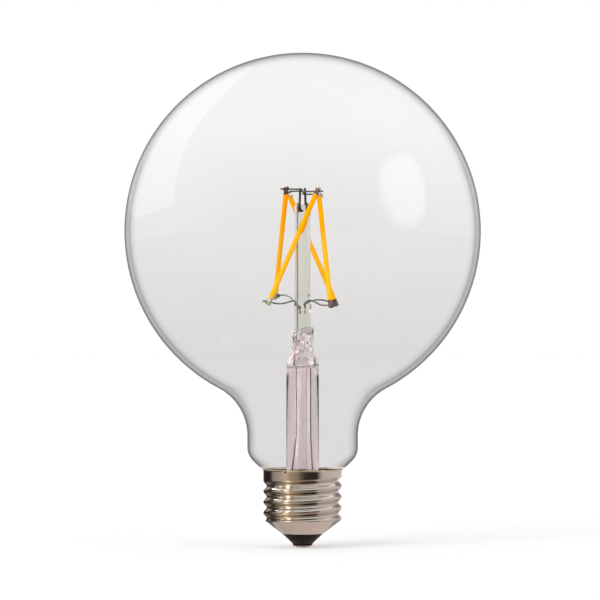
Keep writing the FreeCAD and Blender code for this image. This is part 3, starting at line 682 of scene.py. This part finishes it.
def smoothPath(points, count):
    # points along a smooth curve through the given ones
    ends = [points[0] * 2 - points[1]] + points + [points[-1] * 2 - points[-2]]
    path = []
    for a, b, c, d in zip(ends, ends[1:], ends[2:], ends[3:]):
        for i in range(count):
            t = i / count
            path.append(0.5 * (2 * b + (c - a) * t + (2 * a - 5 * b + 4 * c - d) * t * t
                               + (3 * b - a - 3 * c + d) * t ** 3))
    return path + [points[-1]]


# the wires that carry the filaments' feet, and the root of each in the rod, thicker in its middle
anchors = {
    "left": dict(path=((-13.3, -9.55, 82.98), (-11.98, -8.45, 82.77), (-7.7, -4.6, 82.05), (-4.6, -1.9, 82.65),
                       (-3.3, -0.45, 83.0), (-3.3, 0.45, 83.05), (-4.3, 3.2, 84.3), (-6.3, 9.2, 85.0),
                       (-8.26, 15.72, 84.78), (-8.7, 17.2, 84.7)),
                 root=((-3.3, 0.0, 83.0), (-2.3, -0.1, 82.7), (-1.2, 0.0, 81.3), (-0.6, 0.0, 80.4)),
                 thick=0.36),
    "right": dict(path=((11.35, -11.85, 81.3), (10.24, -10.53, 81.53), (6.4, -5.3, 81.6), (4.3, -1.9, 82.6),
                        (3.3, -0.45, 83.0), (3.3, 0.45, 83.05), (4.6, 2.6, 83.35), (7.4, 6.1, 83.2),
                        (10.53, 10.24, 82.03), (11.55, 11.5, 81.6)),
                  root=((3.3, 0.0, 83.0), (1.8, -0.3, 83.0), (0.5, -0.2, 81.9), (0.6, 0.0, 80.4)),
                  thick=0.46),
}
anchorWire = dict(radius=0.275, bendRows=10, waver=0.06, waverScale=1.3)


def makeAnchor(side, a, w):
    bm = bmesh.new()
    path = smoothPath([Vector(point) for point in a["path"]], w["bendRows"])
    sweepTube(bm, path, [w["radius"] * (1 + w["waver"] * noise.noise(point * w["waverScale"]))
                         for point in path])
    root = smoothPath([Vector(point) for point in a["root"]], w["bendRows"])
    last = len(root) - 1
    sweepTube(bm, root, [w["radius"] + (a["thick"] - w["radius"]) * math.sin(math.pi * i / last)
                         for i in range(last + 1)])
    bmesh.ops.recalc_face_normals(bm, faces=bm.faces)
    piece = finishMesh("anchorWire_" + side, bm, ["bottom_anchor_" + side])
    piece.data.materials.append(opaque["nickelWire"])


for side, plan in anchors.items():
    makeAnchor(side, plan, anchorWire)

# dark beads of oxide and glass where the posts go into the rod, and the weld lumps on the tabs
beads = {
    "postBead_left": dict(spots=((-1.1, 0.0, 115.0, 0.6), (-0.75, -0.1, 114.2, 0.62),
                                 (-0.35, -0.1, 113.4, 0.5)), finish="postWire"),
    "postBead_right": dict(spots=((1.35, 0.0, 115.25, 0.62), (1.2, 0.1, 114.6, 0.45)), finish="postWire"),
    "weldBead_1": dict(spots=((-5.99, -4.5, 120.56, 0.62),), finish="darkTab"),
    "weldBead_2": dict(spots=((5.35, -5.6, 120.7, 0.72), (5.7, -5.5, 120.1, 0.45)), finish="brightTab"),
    "weldBead_3": dict(spots=((6.0, 5.3, 118.9, 0.8), (6.5, 5.4, 118.3, 0.5)), finish="brightTab"),
    "weldBead_4": dict(spots=((-4.4, 5.9, 119.9, 0.6), (-3.9, 5.4, 118.4, 0.55)), finish="brightTab"),
    "weldBead_5": dict(spots=((-8.26, 15.72, 84.78, 0.62),), finish="darkTab"),
    "weldBead_6": dict(spots=((-11.98, -8.6, 82.77, 0.7), (-11.3, -8.5, 83.2, 0.5)), finish="brightTab"),
    "weldBead_7": dict(spots=((10.24, -10.6, 81.53, 0.66), (10.6, -10.6, 82.2, 0.45)), finish="darkTab"),
    "weldBead_8": dict(spots=((10.53, 10.24, 82.03, 0.62),), finish="darkTab"),
}
beadLumps = dict(share=0.5, scale=1400)


def makeBead(name, bead, lumps):
    bm = bmesh.new()
    for x, y, z, size in bead["spots"]:
        centre = Vector((x, y, z)) * mm
        made = bmesh.ops.create_icosphere(bm, subdivisions=3, radius=size * mm,
                                          matrix=Matrix.Translation(centre))
        for vert in made["verts"]:
            swell = lumps["share"] * noise.noise(vert.co * lumps["scale"])
            vert.co = centre + (vert.co - centre) * (1 + swell)
    piece = finishMesh(name, bm)
    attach(piece, "root")
    piece.data.materials.append(opaque[bead["finish"]])


for name, bead in beads.items():
    makeBead(name, bead, beadLumps)
print("wires and beads ready")

# finishes on the CAD pieces by the start of a node's name; the last one that fits counts
nodeFinishes = {
    "cap_insulator": opaque["blackGlass"], "cap_contact": opaque["brassPlate"],
    "contact_solder": opaque["solderTin"], "side_solder": opaque["solderTin"],
    "cap_cement": opaque["capCement"], "stem_flare": solid["stemGlass"], "exhaust_tube": solid["exhaustGlass"],
    "support_rod": solid["rodGlass"], "driver_board": opaque["circuitBoard"],
    "bridge_rectifier": opaque["mouldedPackage"], "current_chip": opaque["mouldedPackage"],
    "smoothing_capacitor": opaque["capacitorSleeve"], "fuse_resistor": opaque["resistorBody"],
    "live_wire": opaque["tinnedWire"], "side_wire": opaque["tinnedWire"],
    "lead_outer": opaque["tinnedWire"], "lead_seal": opaque["copperSeal"], "lead_inner": opaque["leadWire"],
    "anchor_seal": opaque["copperSeal"], "top_post": opaque["postWire"], "top_crossbar": opaque["crossWire"],
    "bottom_anchor": opaque["nickelWire"], "filament_coating": opaque["phosphor"],
    "filament_strip": opaque["stripCeramic"], "filament_tab": opaque["darkTab"],
    "filament_tab_top_3": opaque["brightTab"], "filament_tab_top_4": opaque["brightTab"],
    "filament_tab_foot_1": opaque["brightTab"], "filament_tab_foot_2": opaque["brightTab"],
}
for name, piece in nodes.items():
    if piece is None or piece.type != "MESH":
        continue
    fitting = [mat for start, mat in nodeFinishes.items() if name.startswith(start)]
    if fitting:
        for slot in piece.material_slots:
            slot.material = fitting[-1]
        if not piece.material_slots:
            piece.data.materials.append(fitting[-1])
print("finishes given to the pieces")

studio = dict(floorSize=8.0, floorDrop=0.00005, floorColour=(0.50, 0.50, 0.50), floorRoughness=0.9,
              floorGlow=0.44, worldLevel=0.55, frontLevel=0.05, frontEnd=0.1, ringSteps=96)
lamps = {
    "keyLight": dict(place=(-1.6, -1.6, 1.3), level=2.3, spread=40),
    "fillLight": dict(place=(1.9, -1.4, 0.9), level=0.9, spread=50),
    "topLight": dict(place=(0.0, 0.3, 2.2), level=0.45, spread=60),
}


def seenNode(tree, path):
    # 1 for what the camera sees, straight or through glass
    return mathNode(tree, "MAXIMUM", path.outputs["Is Camera Ray"], path.outputs["Is Transmission Ray"])


def makeFloor(s):
    bm = bmesh.new()
    bmesh.ops.create_grid(bm, x_segments=1, y_segments=1, size=s["floorSize"] / 2)
    piece = finishMesh("studioFloor", bm, smooth=False)
    piece.location.z = cadBounds[0][2] - s["floorDrop"]
    mat, tree, shader = newMaterial("floorPaper")
    shader.inputs["Base Color"].default_value = (*s["floorColour"], 1)
    shader.inputs["Roughness"].default_value = s["floorRoughness"]
    shader.inputs["Specular IOR Level"].default_value = 0.0
    shader.inputs["Emission Color"].default_value = (1, 1, 1, 1)
    path = tree.nodes.new("ShaderNodeLightPath")
    feedSocket(tree, shader.inputs["Emission Strength"],
               mathNode(tree, "MULTIPLY", seenNode(tree, path), s["floorGlow"]))
    piece.data.materials.append(mat)


def makeWorld(s):
    # white surroundings; reflections find them darker on the camera's side
    world = bpy.data.worlds.new("studioWorld")
    scene.world = world
    world.use_nodes = True
    tree = world.node_tree
    background = tree.nodes["Background"]
    background.inputs["Color"].default_value = (1, 1, 1, 1)
    path = tree.nodes.new("ShaderNodeLightPath")
    glossy = path.outputs["Is Glossy Ray"]
    ahead = tree.nodes.new("ShaderNodeMapRange")
    ahead.interpolation_type = "SMOOTHSTEP"
    for key, setting in (("Value", placeNode(tree, "Generated")["Y"]), ("From Min", -1.0),
                         ("From Max", s["frontEnd"]), ("To Min", s["frontLevel"])):
        feedSocket(tree, ahead.inputs[key], setting)
    seen = seenNode(tree, path)
    direct = mathNode(tree, "MAXIMUM", seen, mathNode(tree, "MULTIPLY", glossy, ahead.outputs["Result"]))
    indirect = mathNode(tree, "SUBTRACT", 1.0, mathNode(tree, "MAXIMUM", seen, glossy))
    soft = mathNode(tree, "MULTIPLY", indirect, s["worldLevel"])
    tree.links.new(mathNode(tree, "ADD", direct, soft), background.inputs["Strength"])


def softSun(name, plan):
    # a wide, soft light from one side, equally strong over the whole floor
    lamp = bpy.data.lights.new(name, "SUN")
    lamp.energy = plan["level"]
    lamp.angle = math.radians(plan["spread"])
    holder = bpy.data.objects.new(name, lamp)
    scene.collection.objects.link(holder)
    holder.location = plan["place"]
    holder.rotation_euler = (-Vector(plan["place"])).to_track_quat("-Z", "Y").to_euler()
    holder.visible_glossy = False


makeFloor(studio)
makeWorld(studio)
for name, plan in lamps.items():
    softSun(name, plan)


def onlyMirrored(piece):
    # seen in reflections, and by nothing else
    piece.visible_camera = False
    piece.visible_diffuse = False
    piece.visible_shadow = False
    piece.visible_transmission = False


def glowMaterial(name):
    mat, tree, shader = newMaterial(name)
    shader.inputs["Base Color"].default_value = (0, 0, 0, 1)
    shader.inputs["Specular IOR Level"].default_value = 0.0
    shader.inputs["Emission Color"].default_value = (1, 1, 1, 1)
    shader.inputs["Emission Strength"].default_value = 1.0
    return mat, tree, shader


# the window on the left and the soft box on the right, as corners of (azimuth, elevation) round the globe;
# feather is the part of the way to the middle over which the glow fades in
mirrorLights = {
    "windowLight": dict(distance=2.4, glow=2.5, feather=0.03, corners=(
        (-90.5, 11), (-94.5, 18), (-98.8, 26.4), (-107.2, 34.5), (-117.3, 43.1), (-128.9, 48.3), (-151, 47.4),
        (-168.4, 36.7), (-172, 20), (-165, 4), (-138.2, 3.1), (-119, 5.4), (-105.7, 8))),
    "softBoxLight": dict(distance=2.4, glow=3.3, feather=0.36, corners=(
        (95, 40.3), (77, 42), (61, 39.6), (51.5, 32.4), (48.6, 24.6), (48.8, 16.4), (51.6, 8.6),
        (57.8, 1.2), (65.6, -1.8), (75.5, -1.4), (83, 2.4), (88.8, 8.2), (92.4, 15.4), (97, 24),
        (99.4, 31))),
}
globeCentre = Vector((0, 0, envelope["globeHeight"] * mm))


def makePanel(name, light):
    bm = bmesh.new()
    rim = []
    for azimuth, elevation in light["corners"]:
        az, el = math.radians(azimuth), math.radians(elevation)
        way = Vector((math.sin(az) * math.cos(el), -math.cos(az) * math.cos(el), math.sin(el)))
        rim.append(bm.verts.new(globeCentre + way * light["distance"]))
    middle = sum((vert.co for vert in rim), Vector()) / len(rim)
    inner = [bm.verts.new(vert.co.lerp(middle, light["feather"])) for vert in rim]
    bm.faces.new(inner)
    for k in range(len(rim)):
        after = (k + 1) % len(rim)
        bm.faces.new((rim[k], rim[after], inner[after], inner[k]))
    panel = finishMesh(name, bm, smooth=False)
    share = panel.data.attributes.new("glowShare", "FLOAT", "POINT")
    for k in range(len(panel.data.vertices)):
        share.data[k].value = 0.0 if k < len(light["corners"]) else 1.0
    mat, tree, shader = glowMaterial(name)
    fade = tree.nodes.new("ShaderNodeAttribute")
    fade.attribute_name = "glowShare"
    feedSocket(tree, shader.inputs["Emission Strength"],
               mathNode(tree, "MULTIPLY", fade.outputs["Fac"], light["glow"]))
    panel.data.materials.append(mat)
    onlyMirrored(panel)


for name, light in mirrorLights.items():
    makePanel(name, light)

# rings round the cap whose tone changes with the azimuth draw the bands on the nickel: skirtRing for the plain
# skirt, skyRing for the upper sides of the thread, and the flat ones for what looks down. Each has its outline
# in (radius, height) in mm, and its tones as stops of (azimuth, colour)
capRings = {
    "skirtRing": dict(outline=((60, 0), (60, 27)), stops=(
        (-180, (0.70, 0.66, 0.67)), (-168, (0.45, 0.42, 0.42)), (-158, (0.06, 0.05, 0.05)),
        (-112, (0.02, 0.012, 0.012)), (-97, (0.05, 0.04, 0.04)), (-88, (0.34, 0.29, 0.27)),
        (-62, (0.50, 0.42, 0.38)), (-46, (0.66, 0.54, 0.38)), (-34, (0.46, 0.35, 0.24)),
        (-16, (0.32, 0.26, 0.19)), (-2, (0.12, 0.09, 0.07)), (7, (0.04, 0.028, 0.026)),
        (38, (0.03, 0.018, 0.018)), (46, (0.30, 0.24, 0.22)), (54, (0.62, 0.55, 0.54)),
        (100, (0.70, 0.65, 0.64)), (180, (0.70, 0.66, 0.67)))),
    "skyRing": dict(outline=((60, 27), (60, 44), (48, 48), (37, 42)), stops=(
        (-180, (0.42, 0.40, 0.40)), (-140, (0.40, 0.37, 0.36)), (-126, (0.05, 0.04, 0.035)),
        (-92, (0.04, 0.03, 0.025)), (-80, (0.30, 0.26, 0.22)), (-75, (1.3, 1.2, 1.0)), (-69, (1.3, 1.2, 1.0)),
        (-64, (0.32, 0.27, 0.19)), (-56, (0.36, 0.30, 0.20)), (-50, (3.4, 3.2, 2.8)), (-43, (3.4, 3.2, 2.8)),
        (-38, (0.45, 0.38, 0.27)), (-22, (0.80, 0.82, 0.82)), (0, (0.98, 1.03, 1.06)),
        (40, (0.92, 0.97, 1.0)), (50, (0.66, 0.60, 0.58)), (112, (0.66, 0.60, 0.58)),
        (135, (0.26, 0.22, 0.24)), (180, (0.42, 0.40, 0.40)))),
    "domeRing": dict(outline=((3.1, 0.25), (4.2, 0.25)), stops=(
        (-180, (1.5, 1.35, 1.28)), (180, (1.5, 1.35, 1.28)))),
    "floorRing": dict(outline=((16, 0.3), (60, 0.3)), stops=(
        (-180, (0.40, 0.36, 0.35)), (-100, (0.05, 0.04, 0.035)), (-80, (0.12, 0.10, 0.07)),
        (-60, (0.46, 0.38, 0.26)), (-52, (0.60, 0.52, 0.36)), (-47, (1.3, 1.2, 0.95)),
        (-41, (1.3, 1.2, 0.95)), (-35, (0.58, 0.50, 0.34)), (-20, (0.38, 0.31, 0.22)),
        (10, (0.24, 0.19, 0.15)), (38, (0.28, 0.23, 0.19)), (48, (0.56, 0.49, 0.46)),
        (100, (0.58, 0.51, 0.49)), (125, (0.30, 0.25, 0.26)), (180, (0.40, 0.36, 0.35)))),
    "coneRing": dict(outline=((4.25, 0.3), (16, 0.3)), stops=(
        (-180, (0.66, 0.57, 0.53)), (-90, (0.56, 0.49, 0.45)), (0, (0.66, 0.57, 0.54)),
        (90, (0.70, 0.61, 0.56)), (180, (0.66, 0.57, 0.53)))),
}


def makeRing(name, plan):
    bm = bmesh.new()
    spinProfile(bm, plan["outline"], studio["ringSteps"])
    ring = finishMesh(name, bm)
    mat, tree, shader = glowMaterial(name)
    place = placeNode(tree)
    angle = mathNode(tree, "ARCTAN2", place["X"], mathNode(tree, "MULTIPLY", place["Y"], -1.0))
    turn = mathNode(tree, "ADD", mathNode(tree, "DIVIDE", angle, math.tau), 0.5)
    bands = rampNode(tree, turn, [(azimuth / 360 + 0.5, colour) for azimuth, colour in plan["stops"]])
    tree.links.new(bands, shader.inputs["Emission Color"])
    ring.data.materials.append(mat)
    onlyMirrored(ring)


for name, plan in capRings.items():
    makeRing(name, plan)
print("studio ready")

portrait = dict(place=(-0.00088, -1.27, 0.0833), lens=226.2, sensorWidth=36.0, clipStart=0.01)
cameraData = bpy.data.cameras.new("portraitCamera")
cameraData.sensor_width = portrait["sensorWidth"]
cameraData.lens = portrait["lens"]
cameraData.clip_start = portrait["clipStart"]
camera = bpy.data.objects.new("portraitCamera", cameraData)
scene.collection.objects.link(camera)
camera.location = portrait["place"]
camera.rotation_euler = (math.radians(90), 0, 0)
scene.camera = camera

scene.view_settings.view_transform = "Standard"
